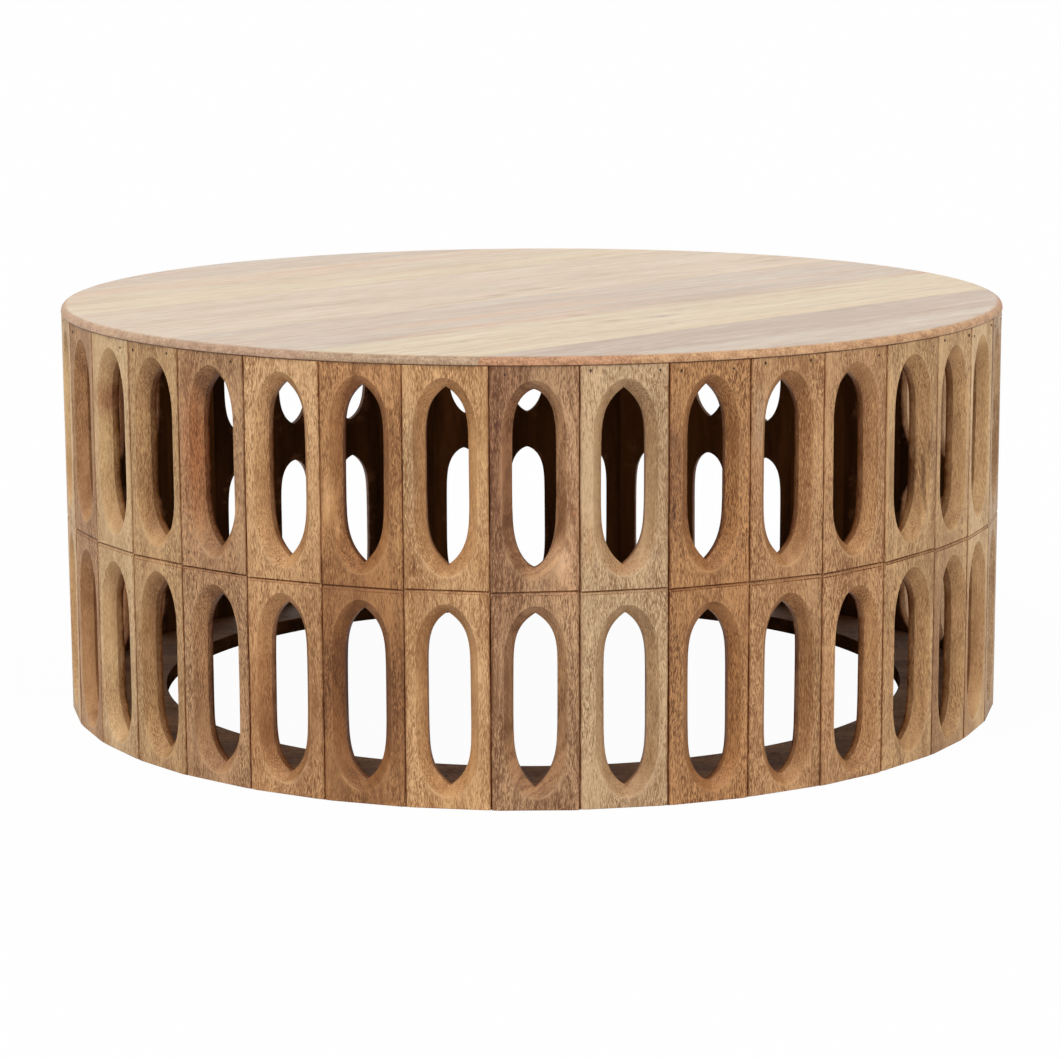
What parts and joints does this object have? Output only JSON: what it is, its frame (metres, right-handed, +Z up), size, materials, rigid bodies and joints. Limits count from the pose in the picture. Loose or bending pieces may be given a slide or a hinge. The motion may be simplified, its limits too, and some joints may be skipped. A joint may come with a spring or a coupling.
{
  "type": "drum table",
  "caption": "Low round wooden table built like a drum, with mitred staves pierced by pointed slots, a boarded round top and a flat ring at the foot.",
  "frame": {"origin": "on the floor, at the centre of the drum's foot", "axes": "+Z up along the drum's axis, -Y towards the front, +X to the right seen from the front"},
  "size_m": [0.914, 0.914, 0.396],
  "materials": {
    "stave_wood": "satin waxed hardwood in mixed honey and brown tones",
    "top_wood": "satin worn boards in mixed tan and grey tones",
    "foot_wood": "dull dark wood"
  },
  "bodies": {
    "root": {"stave_01": "stave_wood", "stave_02": "stave_wood", "stave_03": "stave_wood", "stave_04": "stave_wood", "stave_05": "stave_wood", "stave_06": "stave_wood", "stave_07": "stave_wood", "stave_08": "stave_wood", "stave_09": "stave_wood", "stave_10": "stave_wood", "stave_11": "stave_wood", "stave_12": "stave_wood", "stave_13": "stave_wood", "stave_14": "stave_wood", "stave_15": "stave_wood", "stave_16": "stave_wood", "stave_17": "stave_wood", "stave_18": "stave_wood", "stave_19": "stave_wood", "stave_20": "stave_wood", "stave_21": "stave_wood", "stave_22": "stave_wood", "stave_23": "stave_wood", "stave_24": "stave_wood", "stave_25": "stave_wood", "stave_26": "stave_wood", "stave_27": "stave_wood", "stave_28": "stave_wood", "stave_29": "stave_wood", "stave_30": "stave_wood", "stave_31": "stave_wood", "stave_32": "stave_wood", "stave_33": "stave_wood", "stave_34": "stave_wood", "stave_35": "stave_wood", "stave_36": "stave_wood", "stave_37": "stave_wood", "stave_38": "stave_wood", "top_board_01": "top_wood", "top_board_02": "top_wood", "top_board_03": "top_wood", "top_board_04": "top_wood", "top_board_05": "top_wood", "top_board_06": "top_wood", "top_board_07": "top_wood", "top_board_08": "top_wood", "top_board_09": "top_wood", "foot_ring": "foot_wood"}
  },
  "joints": []
}
